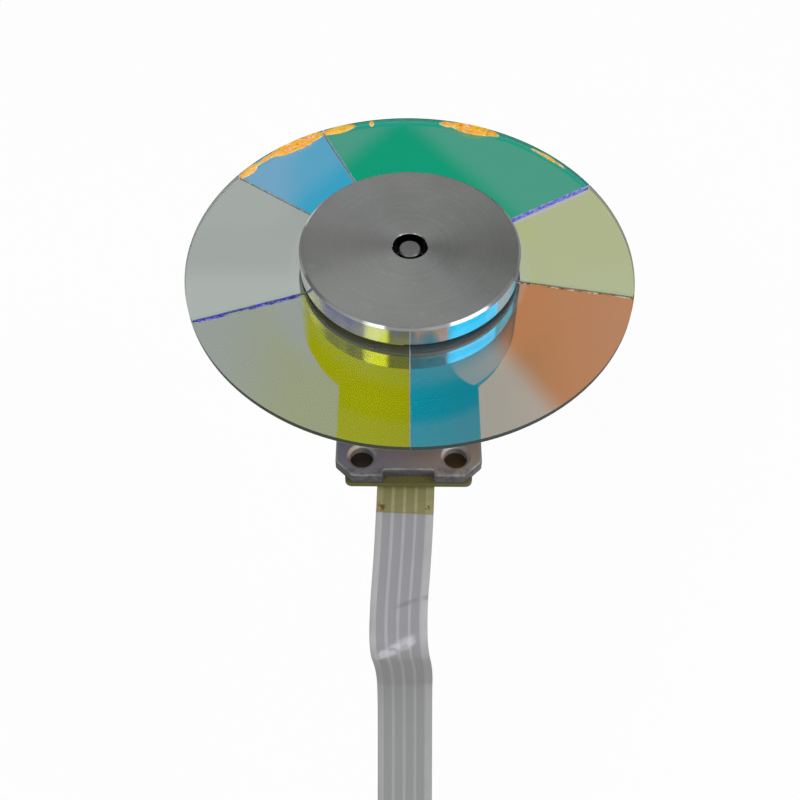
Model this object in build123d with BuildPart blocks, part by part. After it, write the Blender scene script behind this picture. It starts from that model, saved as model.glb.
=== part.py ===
from build123d import *
from math import asin, degrees, radians, tan
import os

os.makedirs("parts", exist_ok=True)

# Colour wheel of a projector: a ring of coloured filters on a small flat motor with a ribbon cable.
# Millimetres. The origin lies midway between the two screw holes, on the bracket's top face.
# +Z runs up the wheel's axis, and the cable leaves towards -Y.

# Bracket
axis_y = 15.57
plate_thickness = 1.0
tab_half_width = 6.35
tab_front = 2.08
tab_corner_cut = 1.5
tab_corner_round = 0.5
tab_root_round = 1.2
base_r = 9.6
notch_width = 4.3
notch_depth = 0.65
notch_round = 0.25
edge_round = 0.25
screw_spacing = 8.14
screw_hole_r = 1.03
screw_countersink = 0.28

# Circuit board
board_thickness = 0.5
board_half_width = 5.5
board_front = 2.18
board_corner_round = 0.6
board_disc_r = 7.4
board_window_r = 4.0

# Bearing and its housing
housing_tube_r = 2.9
housing_shoulder_r = 3.7
housing_foot_r = 4.4
housing_foot_thickness = 0.6
housing_spigot_r = 3.2
bearing_r = 2.1
bearing_headroom = 0.6
bearing_bottom = 0.6
bearing_chamfer = 0.2
shaft_running_gap = 0.02
cover_r = 2.55
cover_thickness = 0.35
thrust_pad_r = 1.8
thrust_pad_thickness = 0.3
shaft_end_play = 0.02

# Stator
tooth_count = 9
first_tooth = 270
stack_bottom = 1.6
winding_headroom = 0.7
yoke_r = 4.1
tooth_width = 1.3
shoe_thickness = 0.65
slot_opening = 0.9
air_gap = 0.25
winding_depth = 0.5
winding_height = 0.6
winding_round = 0.35
slot_liner = 0.04
winding_inner_gap = 0.25
winding_outer_gap = 0.2
lead_r = 0.12
lead_circle_r = 5.8
lead_angles = (230, 262, 278, 310)
lead_hole_r = 0.45
solder_r = 0.5
solder_height = 0.35
solder_round = 0.31

# Rotor
rotor_r = 10.0
rotor_wall = 0.6
rotor_roof = 0.6
rotor_height = 6.1
rotor_rim_gap = 0.4
rotor_edge_round = 0.2
magnet_thickness = 0.95
magnet_rim_inset = 0.4
magnet_headroom = 0.5

# Shaft
shaft_r = 1.0
shaft_recess = 0.3
shaft_chamfer = 0.125
shaft_foot_round = 0.25
groove_depth = 0.25
groove_width = 0.4
groove_bottom = 0.05
washer_r = 1.7
washer_play = 0.05

# Hub and cap
hub_r = 9.8
hub_flange_thickness = 0.8
hub_edge_chamfer = 0.08
spigot_r = 6.0
spigot_drop = 0.1
boss_r = 2.5
boss_length = 0.9
cap_r = 9.77
cap_height = 2.17
cap_foot_r = 9.3
cap_foot_height = 0.17
cap_chamfer_width = 0.25
cap_chamfer_height = 0.18
cap_lower_chamfer = 0.12
cap_bore_r = 1.535
cap_bore_chamfer = 0.1
glue_reach = 0.28
glue_swell = 0.08
glue_start = 196
glue_end = 267

# Filter ring: the joints' angles count from +X, anticlockwise from above
wheel_r = 20.0
glass_thickness = 0.5
glass_seat_gap = 0.1
glass_joint_gap = 0.08
filter_names = ("filter_red", "filter_yellow", "filter_green", "filter_cyan", "filter_clear", "filter_blue")
joint_angles = (-89.8, -10.3, 31.3, 115.4, 144.8, 199.6, 270.2)

# Ribbon cable: its route is seen from the side, as (y, z) points, with a bend at each inner point
ribbon_width = 5.0
ribbon_thickness = 0.15
conductor_count = 4
conductor_pitch = 1.0
conductor_width = 0.6
conductor_thickness = 0.05
cable_tail = 3.4
tape_thickness = 0.06
tape_front = 2.3
tape_back = 1.8
pad_length = 1.3
stiffener_length = 6.0
stiffener_thickness = 0.15
contact_length = 3.5
exit_run = 0.5
exit_bend_r = 0.9
crease_bend_r = 0.8

# Heights up the wheel's axis, counted from the bracket's top face
plate_bottom = -plate_thickness
board_bottom = plate_bottom - board_thickness
rotor_top = rotor_rim_gap + rotor_height
hub_top = rotor_top + hub_flange_thickness
glass_top = hub_top + glass_thickness
cap_rim = glass_top + cap_foot_height
cap_top = glass_top + cap_height
shaft_top = cap_top - shaft_recess
roof_bottom = rotor_top - rotor_roof
magnet_bottom = rotor_rim_gap + magnet_rim_inset
magnet_height = roof_bottom - magnet_headroom - magnet_bottom
stack_height = roof_bottom - winding_headroom - winding_height - stack_bottom
bearing_top = rotor_top - boss_length - bearing_headroom
bearing_length = bearing_top - bearing_bottom
cover_top = plate_bottom + cover_thickness
pad_top = cover_top + thrust_pad_thickness
shaft_bottom = pad_top + shaft_end_play
groove_top = groove_bottom + groove_width

# Radii that follow from their neighbours
magnet_outer_r = rotor_r - rotor_wall
magnet_inner_r = magnet_outer_r - magnet_thickness
stator_r = magnet_inner_r - air_gap
shoe_inner_r = stator_r - shoe_thickness
bearing_bore_r = shaft_r + shaft_running_gap
groove_r = shaft_r - groove_depth
glass_inner_r = spigot_r + glass_seat_gap


def level(height):
    """The plane across the wheel's axis at this height, centred on the axis."""
    return Plane(origin=(0, axis_y, height))


def bracket_level(height):
    """The plane at this height, centred between the screw holes."""
    return Plane(origin=(0, 0, height))


def is_same(value, size):
    """Whether a measured value is this size, apart from rounding."""
    return abs(value - size) < 0.001


def on_circle(radius, angle):
    """The point at this radius and angle, in degrees."""
    return Vector(radius, 0).rotate(Axis.Z, angle)


def radial_plane(angle):
    """The upright plane through the axis at this angle, where a profile is drawn as (radius, height)."""
    return Plane(origin=(0, axis_y, 0), x_dir=on_circle(1, angle), z_dir=on_circle(1, angle - 90))


def save(piece, name):
    """Label a finished piece and write it to its own file."""
    piece.part.label = name
    export_step(piece.part, f"parts/{name}.step")


wheel_axis = Axis((0, axis_y, 0), (0, 0, 1))
turning_plane = radial_plane(0)

# Mounting bracket: a punched steel plate, with its upper outer edge rolled over by the punch
with BuildPart() as mounting_bracket:
    with BuildSketch(bracket_level(plate_bottom)) as plate_outline:
        with Locations((0, (axis_y - tab_front) / 2)):
            Rectangle(2 * tab_half_width, axis_y + tab_front)
        front_corners = plate_outline.vertices().group_by(Axis.Y)[0]
        chamfer(front_corners, length=tab_corner_cut)
        cut_corners = plate_outline.vertices().sort_by(Axis.Y)[:4]
        fillet(cut_corners, radius=tab_corner_round)
        with Locations((0, axis_y)):
            Circle(base_r)
        tab_sides = plate_outline.vertices().filter_by(lambda v: is_same(abs(v.X), tab_half_width))
        fillet(tab_sides.group_by(Axis.Y)[-1], radius=tab_root_round)
        with Locations((0, -tab_front)):
            Rectangle(notch_width, 2 * notch_depth, mode=Mode.SUBTRACT)
        notch_corners = plate_outline.vertices().filter_by(lambda v: is_same(abs(v.X), notch_width / 2))
        fillet(notch_corners, radius=notch_round)
    extrude(amount=plate_thickness)
    top_rim = mounting_bracket.faces().sort_by(Axis.Z)[-1].outer_wire().edges()
    fillet(top_rim, radius=edge_round)
    with Locations(bracket_level(0)):
        with GridLocations(screw_spacing, 0, 2, 1):
            Hole(screw_hole_r, depth=plate_thickness)
    with Locations(level(0)):
        Hole(housing_spigot_r, depth=plate_thickness)
        for lead_angle in lead_angles:
            with Locations(on_circle(lead_circle_r, lead_angle)):
                Hole(lead_hole_r, depth=plate_thickness)
    hole_rims = mounting_bracket.edges().filter_by(GeomType.CIRCLE).group_by(Axis.Z)[-1].filter_by(
        lambda e: is_same(e.radius, screw_hole_r)
    )
    chamfer(hole_rims, length=screw_countersink)
save(mounting_bracket, "mounting_bracket")

# Circuit board: under the bracket, closing its screw holes and carrying the solder joints
with BuildPart() as circuit_board:
    with BuildSketch(bracket_level(board_bottom)) as board_outline:
        with Locations((0, (axis_y - board_front) / 2)):
            Rectangle(2 * board_half_width, axis_y + board_front)
        board_corners = board_outline.vertices().group_by(Axis.Y)[0]
        fillet(board_corners, radius=board_corner_round)
        with Locations((0, axis_y)):
            Circle(board_disc_r)
            Circle(board_window_r, mode=Mode.SUBTRACT)
            for lead_angle in lead_angles:
                with Locations(on_circle(lead_circle_r, lead_angle)):
                    Circle(lead_r, mode=Mode.SUBTRACT)
    extrude(amount=board_thickness)
save(circuit_board, "circuit_board")

# Bearing housing: a turned tube staked in the bracket, with a shoulder for the stator core
with BuildPart() as bearing_housing:
    with BuildSketch(turning_plane):
        with BuildLine():
            Polyline(
                (cover_r, plate_bottom),
                (housing_spigot_r, plate_bottom),
                (housing_spigot_r, 0),
                (housing_foot_r, 0),
                (housing_foot_r, housing_foot_thickness),
                (housing_shoulder_r, housing_foot_thickness),
                (housing_shoulder_r, stack_bottom),
                (housing_tube_r, stack_bottom),
                (housing_tube_r, bearing_top),
                (bearing_r, bearing_top),
                (bearing_r, cover_top),
                (cover_r, cover_top),
                close=True,
            )
        make_face()
    revolve(axis=wheel_axis)
save(bearing_housing, "bearing_housing")

# Sleeve bearing: sintered bronze, chamfered at both mouths
with BuildPart() as sleeve_bearing:
    with BuildSketch(level(bearing_bottom)):
        Circle(bearing_r)
        Circle(bearing_bore_r, mode=Mode.SUBTRACT)
    extrude(amount=bearing_length)
    bore_rims = sleeve_bearing.edges().filter_by(GeomType.CIRCLE).filter_by(
        lambda e: is_same(e.radius, bearing_bore_r)
    )
    chamfer(bore_rims, length=bearing_chamfer)
save(sleeve_bearing, "sleeve_bearing")

# Bottom cover: a steel disc pressed into the housing's foot, flush with the bracket
with BuildPart() as bottom_cover:
    with BuildSketch(level(plate_bottom)):
        Circle(cover_r)
    extrude(amount=cover_thickness)
save(bottom_cover, "bottom_cover")

# Thrust pad: the plastic disc that the shaft's round foot turns on
with BuildPart() as thrust_pad:
    with BuildSketch(level(cover_top)):
        Circle(thrust_pad_r)
    extrude(amount=thrust_pad_thickness)
save(thrust_pad, "thrust_pad")

# Stator core: a stack of laminations with nine shoed teeth on a round yoke
with BuildPart() as stator_core:
    with BuildSketch(level(stack_bottom)):
        Circle(stator_r)
        Circle(shoe_inner_r, mode=Mode.SUBTRACT)
        with PolarLocations(stator_r - shoe_thickness / 2, tooth_count, first_tooth + 180 / tooth_count):
            Rectangle(2 * shoe_thickness, slot_opening, mode=Mode.SUBTRACT)
        Circle(yoke_r)
        with PolarLocations((yoke_r + shoe_inner_r) / 2, tooth_count, first_tooth):
            Rectangle(stator_r - yoke_r, tooth_width)
        Circle(housing_tube_r, mode=Mode.SUBTRACT)
    extrude(amount=stack_height)
save(stator_core, "stator_core")

# Coils: one round-cornered winding on each tooth, wound clear of the yoke and the shoe
winding_start = yoke_r + winding_inner_gap
winding_length = shoe_inner_r - winding_outer_gap - winding_start
core_middle = stack_bottom + stack_height / 2
for tooth in range(tooth_count):
    tooth_direction = on_circle(1, first_tooth + tooth * 360 / tooth_count)
    tooth_plane = Plane(
        origin=Vector(0, axis_y, core_middle) + tooth_direction * winding_start,
        x_dir=(0, 0, 1),
        z_dir=tooth_direction,
    )
    with BuildPart() as coil:
        with BuildSketch(tooth_plane):
            RectangleRounded(
                stack_height + 2 * winding_height,
                tooth_width + 2 * winding_depth,
                winding_round,
            )
            Rectangle(
                stack_height + 2 * slot_liner,
                tooth_width + 2 * slot_liner,
                mode=Mode.SUBTRACT,
            )
        extrude(amount=winding_length)
    save(coil, f"coil_{tooth + 1}")

# Winding leads: four enamelled wires from the coils' undersides down through the board
coil_bottom = stack_bottom - winding_height
with BuildPart() as winding_leads:
    with BuildSketch(level(board_bottom)):
        for lead_angle in lead_angles:
            with Locations(on_circle(lead_circle_r, lead_angle)):
                Circle(lead_r)
    extrude(amount=coil_bottom - board_bottom)
save(winding_leads, "winding_leads")

# Lead solder: a domed joint under the board on each lead
with BuildPart() as lead_solder:
    with BuildSketch(level(board_bottom)):
        for lead_angle in lead_angles:
            with Locations(on_circle(lead_circle_r, lead_angle)):
                Circle(solder_r)
    extrude(amount=-solder_height)
    dome_rims = lead_solder.faces().filter_by(Axis.Z).group_by(Axis.Z)[0].edges()
    fillet(dome_rims, radius=solder_round)
save(lead_solder, "lead_solder")

# Shaft: ground steel with a round foot, a groove for its washer and a chamfered head
with BuildPart() as shaft:
    with BuildSketch(turning_plane):
        with BuildLine():
            Polyline(
                (0, shaft_bottom),
                (shaft_r, shaft_bottom),
                (shaft_r, groove_bottom),
                (groove_r, groove_bottom),
                (groove_r, groove_top),
                (shaft_r, groove_top),
                (shaft_r, shaft_top - shaft_chamfer),
                (shaft_r - shaft_chamfer, shaft_top),
                (0, shaft_top),
                close=True,
            )
        make_face()
    revolve(axis=wheel_axis)
    foot_rim = shaft.faces().sort_by(Axis.Z)[0].edges()
    fillet(foot_rim, radius=shaft_foot_round)
save(shaft, "shaft")

# Retaining washer: sits in the shaft's groove, under the bearing, and keeps the rotor down
with BuildPart() as retaining_washer:
    with BuildSketch(level(groove_bottom + washer_play)):
        Circle(washer_r)
        Circle(groove_r, mode=Mode.SUBTRACT)
    extrude(amount=groove_width - 2 * washer_play)
save(retaining_washer, "retaining_washer")

# Rotor cup: a drawn steel cup, open downwards, with a round hole in its roof for the hub's boss
with BuildPart() as rotor_cup:
    with BuildSketch(level(rotor_rim_gap)):
        Circle(rotor_r)
    extrude(amount=rotor_height)
    cup_edge = rotor_cup.faces().sort_by(Axis.Z)[-1].edges()
    fillet(cup_edge, radius=rotor_edge_round)
    with BuildSketch(level(rotor_rim_gap)):
        Circle(magnet_outer_r)
    extrude(amount=rotor_height - rotor_roof, mode=Mode.SUBTRACT)
    with BuildSketch(level(roof_bottom)):
        Circle(boss_r)
    extrude(amount=rotor_roof, mode=Mode.SUBTRACT)
save(rotor_cup, "rotor_cup")

# Magnet ring: glued inside the cup's wall
with BuildPart() as magnet_ring:
    with BuildSketch(level(magnet_bottom)):
        Circle(magnet_outer_r)
        Circle(magnet_inner_r, mode=Mode.SUBTRACT)
    extrude(amount=magnet_height)
save(magnet_ring, "magnet_ring")

# Rotor hub: turned aluminium, pressed on the shaft, with a spigot that centres the glass
with BuildPart() as rotor_hub:
    with BuildSketch(turning_plane):
        with BuildLine():
            Polyline(
                (shaft_r, rotor_top - boss_length),
                (boss_r, rotor_top - boss_length),
                (boss_r, rotor_top),
                (hub_r - hub_edge_chamfer, rotor_top),
                (hub_r, rotor_top + hub_edge_chamfer),
                (hub_r, hub_top - hub_edge_chamfer),
                (hub_r - hub_edge_chamfer, hub_top),
                (spigot_r, hub_top),
                (spigot_r, glass_top - spigot_drop),
                (shaft_r, glass_top - spigot_drop),
                close=True,
            )
        make_face()
    revolve(axis=wheel_axis)
save(rotor_hub, "rotor_hub")

# Hub cap: turned aluminium, clamping the glass with a foot that is set back from its rim
with BuildPart() as hub_cap:
    with BuildSketch(turning_plane):
        with BuildLine():
            Polyline(
                (cap_bore_r, glass_top),
                (cap_foot_r, glass_top),
                (cap_foot_r, cap_rim),
                (cap_r - cap_lower_chamfer, cap_rim),
                (cap_r, cap_rim + cap_lower_chamfer),
                (cap_r, cap_top - cap_chamfer_height),
                (cap_r - cap_chamfer_width, cap_top),
                (cap_bore_r + cap_bore_chamfer, cap_top),
                (cap_bore_r, cap_top - cap_bore_chamfer),
                close=True,
            )
        make_face()
    revolve(axis=wheel_axis)
save(hub_cap, "hub_cap")

# Glue fillet: the bead of adhesive left in the cap's undercut on one side
with BuildPart() as glue_fillet:
    with BuildSketch(radial_plane(glue_start)):
        with BuildLine():
            Polyline(
                (cap_foot_r + glue_reach, glass_top),
                (cap_foot_r, glass_top),
                (cap_foot_r, cap_rim),
                (cap_foot_r + glue_reach, cap_rim),
            )
            ThreePointArc(
                (cap_foot_r + glue_reach, cap_rim),
                (cap_foot_r + glue_reach + glue_swell, (glass_top + cap_rim) / 2),
                (cap_foot_r + glue_reach, glass_top),
            )
        make_face()
    revolve(axis=wheel_axis, revolution_arc=glue_end - glue_start)
save(glue_fillet, "glue_fillet")

# Filters: six pieces of coated glass, each a slice of the ring, with a thin gap at every joint
for filter_name, start_angle, end_angle in zip(filter_names, joint_angles, joint_angles[1:]):
    inner_shift = degrees(asin(glass_joint_gap / 2 / glass_inner_r))
    outer_shift = degrees(asin(glass_joint_gap / 2 / wheel_r))
    inner_start = on_circle(glass_inner_r, start_angle + inner_shift)
    inner_end = on_circle(glass_inner_r, end_angle - inner_shift)
    outer_start = on_circle(wheel_r, start_angle + outer_shift)
    outer_end = on_circle(wheel_r, end_angle - outer_shift)
    middle_angle = (start_angle + end_angle) / 2
    with BuildPart() as colour_filter:
        with BuildSketch(level(hub_top)):
            with BuildLine():
                Line(inner_start, outer_start)
                ThreePointArc(outer_start, on_circle(wheel_r, middle_angle), outer_end)
                Line(outer_end, inner_end)
                ThreePointArc(inner_end, on_circle(glass_inner_r, middle_angle), inner_start)
            make_face()
        extrude(amount=glass_thickness)
    save(colour_filter, filter_name)

# Ribbon cable: flat under the board, then down past two sharp creases, and hanging at its end
ribbon_height = board_bottom - tape_thickness - ribbon_thickness / 2
ribbon_route = (
    (cable_tail, ribbon_height),
    (-board_front - exit_run, ribbon_height),
    (-10.3, -8.0),
    (-14.2, -8.5),
    (-14.0, -18.2),
    (-24.2, -25.9),
    (-29.8, -34.8),
    (-31.6, -45.2),
    (-31.6, -57.0),
)


def turn_angle(before, corner, after):
    """How far the route turns at a corner, in degrees."""
    arriving = Vector(*corner) - Vector(*before)
    leaving = Vector(*after) - Vector(*corner)
    return arriving.get_angle(leaving)


def free_bend(before, corner, after):
    """The largest easy bend at a corner, from its shorter run and its turn."""
    run = min((Vector(*corner) - Vector(*before)).length, (Vector(*after) - Vector(*corner)).length)
    return 0.45 * run / tan(radians(turn_angle(before, corner, after)) / 2)


corners = list(zip(ribbon_route, ribbon_route[1:], ribbon_route[2:]))
hanging_bends = [free_bend(*corner) for corner in corners[3:]]
ribbon_bends = [exit_bend_r, crease_bend_r, crease_bend_r] + hanging_bends
print("ribbon bends", [round(bend, 2) for bend in ribbon_bends])

with BuildPart() as ribbon_cable:
    with BuildSketch(Plane.YZ):
        with BuildLine() as ribbon_line:
            FilletPolyline(*ribbon_route, radius=ribbon_bends)
        trace(line_width=ribbon_thickness)
    extrude(amount=ribbon_width / 2, both=True)
ribbon_length = sum(edge.length for edge in ribbon_line.edges())
print("ribbon length", round(ribbon_length, 2))
print("ribbon volume", round(ribbon_cable.part.volume, 3))
print("section times length", round(ribbon_width * ribbon_thickness * ribbon_length, 3))
save(ribbon_cable, "ribbon_cable")

# Insulating tape: a translucent strip between the ribbon and the board, following the first bend
tape_middle = ribbon_height + ribbon_thickness / 2 + tape_thickness / 2
slope = (Vector(*ribbon_route[2]) - Vector(*ribbon_route[1])).normalized()
tape_shift = (ribbon_thickness + tape_thickness) / 2
half_turn = radians(turn_angle(*corners[0])) / 2
tape_corner = Vector(ribbon_route[1][0] - tape_shift * tan(half_turn), tape_middle)
tape_start = Vector(tape_back, tape_middle)
tape_end = tape_corner + slope * tape_front
with BuildPart() as insulating_tape:
    with BuildSketch(Plane.YZ):
        with BuildLine():
            FilletPolyline(tape_start, tape_corner, tape_end, radius=exit_bend_r + tape_shift)
        trace(line_width=tape_thickness)
    extrude(amount=ribbon_width / 2, both=True)
save(insulating_tape, "insulating_tape")

# Cable solder: the four conductors' ends, tinned down onto the board behind the ribbon
with BuildPart() as cable_solder:
    with BuildSketch(Plane((0, cable_tail + pad_length / 2, board_bottom))):
        with GridLocations(conductor_pitch, 0, conductor_count, 1):
            SlotOverall(pad_length, conductor_width, rotation=90)
    extrude(amount=-(tape_thickness + ribbon_thickness))
save(cable_solder, "cable_solder")

# Far end: four tinned contacts on the ribbon's front, backed by a stiffener on its other face
tip_y, tip_z = ribbon_route[-1]
with BuildPart() as cable_stiffener:
    with BuildSketch(Plane((0, tip_y + (ribbon_thickness + stiffener_thickness) / 2, tip_z))):
        Rectangle(ribbon_width, stiffener_thickness)
    extrude(amount=stiffener_length)
save(cable_stiffener, "cable_stiffener")

with BuildPart() as cable_contacts:
    with BuildSketch(Plane((0, tip_y - (ribbon_thickness + conductor_thickness) / 2, tip_z))):
        with GridLocations(conductor_pitch, 0, conductor_count, 1):
            Rectangle(conductor_width, conductor_thickness)
    extrude(amount=contact_length)
save(cable_contacts, "cable_contacts")
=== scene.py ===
import math

import bpy
import numpy as np
from mathutils import Matrix, Vector


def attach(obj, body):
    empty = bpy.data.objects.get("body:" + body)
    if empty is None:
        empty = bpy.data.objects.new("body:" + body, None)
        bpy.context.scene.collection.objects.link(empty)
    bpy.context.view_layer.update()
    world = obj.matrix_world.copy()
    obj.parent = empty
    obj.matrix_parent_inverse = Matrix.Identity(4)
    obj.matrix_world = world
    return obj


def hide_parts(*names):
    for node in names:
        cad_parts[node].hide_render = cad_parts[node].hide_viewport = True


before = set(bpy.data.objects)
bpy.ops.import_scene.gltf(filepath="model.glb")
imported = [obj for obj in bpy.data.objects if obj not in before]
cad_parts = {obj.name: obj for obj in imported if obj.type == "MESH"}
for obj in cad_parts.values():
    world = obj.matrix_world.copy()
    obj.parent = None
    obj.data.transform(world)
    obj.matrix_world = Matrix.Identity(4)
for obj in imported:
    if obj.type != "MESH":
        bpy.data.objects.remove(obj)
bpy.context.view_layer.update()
bpy.context.scene.view_settings.view_transform = "Standard"

# Sizes in metres, in the part's frame: the origin lies midway between the screw holes, on the bracket
MM = 0.001
AXIS_Y = 15.57 * MM
FLOOR_Z = -58 * MM
FLOOR_HALF = 1.5
BOARD_FRONT = -2.18 * MM

# Sizes in millimetres, for the finishes
GLASS_BOTTOM = 7.3
GLASS_TOP = 7.8
WHEEL_R = 20.0
CAP_TOP = 9.97
CAP_RIM = 7.97
CAP_HOLE_R = 1.54
GLUE_FILM_R = 10.7
SCREW_X = 4.07
COUNTERSINK_R = 1.7
# Height above which the hub is painted almost black, as painted shade under the glass
HUB_SHADE_Z = 6.88

# How rough the polished faces of the glass are
GLASS_ROUGHNESS = 0.03

# Camera: the lens in millimetres, where it stands, and how far it looks down and leans, in degrees
LENS, SENSOR = 50.643, 36
CAMERA_PLACE = (-0.787, -54.844, 80.792)
CAMERA_DOWN, CAMERA_LEAN = 52.981, 0.364


def colour(red, green, blue):
    """A colour as it is seen on a screen, from 0 to 255, turned into the shader's own numbers."""
    def straight(value):
        share = value / 255
        return share / 12.92 if share <= 0.04045 else ((share + 0.055) / 1.055) ** 2.4
    return (straight(red), straight(green), straight(blue), 1)


def grey(value):
    return (value, value, value, 1)


def toned(tint, share):
    """A colour made darker or lighter by this share."""
    return tuple(share * part for part in tint[:3]) + (1,)


def place_camera():
    """The camera, at the photograph's viewing angle."""
    lens = bpy.data.cameras.new("camera")
    lens.sensor_width = SENSOR
    lens.lens = LENS
    lens.clip_start = 0.01
    lens.clip_end = 10
    camera = bpy.data.objects.new("camera", lens)
    tilt = Matrix.Rotation(math.radians(90 - CAMERA_DOWN), 4, "X")
    lean = Matrix.Rotation(math.radians(CAMERA_LEAN), 4, "Z")
    camera.matrix_world = Matrix.Translation(Vector(CAMERA_PLACE) * MM) @ tilt @ lean
    bpy.context.scene.collection.objects.link(camera)
    bpy.context.scene.camera = camera


place_camera()

# Shaders: values are written as plain expressions, and each expression adds its own nodes


class Signal:
    """One output of a node in a finish. Sums, products and powers of it add Math nodes."""

    def __init__(self, finish, socket):
        self.finish = finish
        self.socket = socket

    def math(self, operation, first, second=0.0):
        return self.finish.node("ShaderNodeMath", {"operation": operation}, {0: first, 1: second})

    def __add__(self, other):
        return self.math("ADD", self, other)

    def __sub__(self, other):
        return self.math("SUBTRACT", self, other)

    def __mul__(self, other):
        return self.math("MULTIPLY", self, other)

    def __truediv__(self, other):
        return self.math("DIVIDE", self, other)

    def __pow__(self, other):
        return self.math("POWER", self, other)

    def __radd__(self, other):
        return self.math("ADD", other, self)

    def __rsub__(self, other):
        return self.math("SUBTRACT", other, self)

    def __rmul__(self, other):
        return self.math("MULTIPLY", other, self)

    def __abs__(self):
        return self.math("ABSOLUTE", self)

    def least(self, other):
        return self.math("MINIMUM", self, other)

    def most(self, other):
        return self.math("MAXIMUM", self, other)

    def sine(self):
        return self.math("SINE", self)

    def above(self, low, high):
        """0 below low and 1 above high, with a smooth rise between them."""
        return self.finish.node(
            "ShaderNodeMapRange",
            {"interpolation_type": "SMOOTHSTEP"},
            {"Value": self, "From Min": low, "From Max": high},
        )

    def below(self, low, high):
        """1 below low and 0 above high."""
        return 1 - self.above(low, high)

    def within(self, low, risen, falling, high):
        """1 between risen and falling, and 0 below low and above high."""
        return self.above(low, risen) * self.below(falling, high)


class Finish:
    """A material, or the world, and the nodes that make it."""

    def __init__(self, tree, target):
        self.tree = tree
        self.tree.nodes.clear()
        self.target = tree.nodes.new(target)

    def node(self, kind, settings=None, inputs=None, output=0):
        """Adds a node: its settings first, then the values or links of its inputs."""
        made = self.tree.nodes.new(kind)
        for name, value in (settings or {}).items():
            setattr(made, name, value)
        for name, value in (inputs or {}).items():
            if isinstance(value, Signal):
                self.tree.links.new(value.socket, made.inputs[name])
            else:
                made.inputs[name].default_value = value
        return Signal(self, made.outputs[output])

    def show(self, shader):
        self.tree.links.new(shader.socket, self.target.inputs["Surface"])

    def spot(self):
        return self.node("ShaderNodeTexCoord", output="Object")

    def parts(self, vector):
        """The x, y and z of a vector."""
        split = self.node("ShaderNodeSeparateXYZ", {}, {0: vector}).socket.node
        return [Signal(self, socket) for socket in split.outputs]

    def place(self):
        """Where a point lies on the piece at rest, in millimetres: x, y from the wheel's axis, and z."""
        x, y, z = self.parts(self.spot())
        return x / MM, (y - AXIS_Y) / MM, z / MM

    def noise(self, size, detail=3.0, distortion=0.0, seed=0.0, roughness=0.5):
        """Cloudy noise from 0 to 1, whose clouds are about this many millimetres across."""
        shifted = self.node(
            "ShaderNodeVectorMath", {"operation": "ADD"}, {0: self.spot(), 1: (seed, seed * 0.7, -seed)}
        )
        return self.node(
            "ShaderNodeTexNoise",
            {},
            {
                "Vector": shifted,
                "Scale": 1 / (size * MM),
                "Detail": detail,
                "Distortion": distortion,
                "Roughness": roughness,
            },
        )

    def lines(self, along, pitch, detail=2.0):
        """Fine parallel lines across a coordinate in millimetres, from 0 to 1."""
        return self.node(
            "ShaderNodeTexNoise",
            {"noise_dimensions": "1D"},
            {"W": along / pitch, "Scale": 1.0, "Detail": detail},
        )

    def blend(self, share, first, second):
        """A mix of two colours."""
        return self.node(
            "ShaderNodeMix", {"data_type": "RGBA"}, {"Factor": share, 6: first, 7: second}, output=2
        )

    def mixed(self, share, first, second):
        """A mix of two shaders."""
        return self.node("ShaderNodeMixShader", {}, {0: share, 1: first, 2: second})

    def relief(self, height, depth, strength=1.0):
        """A surface direction that follows a height from 0 to 1, which is this many millimetres deep."""
        return self.node(
            "ShaderNodeBump", {}, {"Height": height, "Distance": depth * MM, "Strength": strength}
        )

    def see_through(self, tint):
        return self.node("ShaderNodeBsdfTransparent", {}, {"Color": tint})

    def shine(self, tint, roughness):
        return self.node("ShaderNodeBsdfAnisotropic", {}, {"Color": tint, "Roughness": roughness})

    def matt(self, tint):
        return self.node("ShaderNodeBsdfDiffuse", {}, {"Color": tint})

    def glowing(self, tint):
        return self.node("ShaderNodeEmission", {}, {"Color": tint, "Strength": 1.0})

    def surface(self, **inputs):
        names = {name.replace("_", " "): value for name, value in inputs.items()}
        return self.node("ShaderNodeBsdfPrincipled", {}, names)


def new_finish(name):
    """A new material and its empty finish."""
    material = bpy.data.materials.new(name)
    material.use_nodes = True
    return material, Finish(material.node_tree, "ShaderNodeOutputMaterial")


def away(x, y):
    """How far a point lies from where x and y are measured from."""
    return (x * x + y * y) ** 0.5


def hairs(finish, size, seed, share=0.012):
    """Short curved scratches: thin contour lines of noise, kept in a few places only."""
    contour = abs(finish.noise(size, 1.0, seed=seed) - 0.5).below(share * 0.4, share)
    return contour * finish.noise(size * 1.3, 2.0, seed=seed + 3.1).above(0.55, 0.62)


def scratches(finish):
    return hairs(finish, 1.6, 5.0) + hairs(finish, 0.9, 8.0)


def flecks(finish, size, seed, level=0.72):
    """Small isolated spots."""
    return finish.noise(size, 2.0, seed=seed).above(level, level + 0.05)


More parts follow.
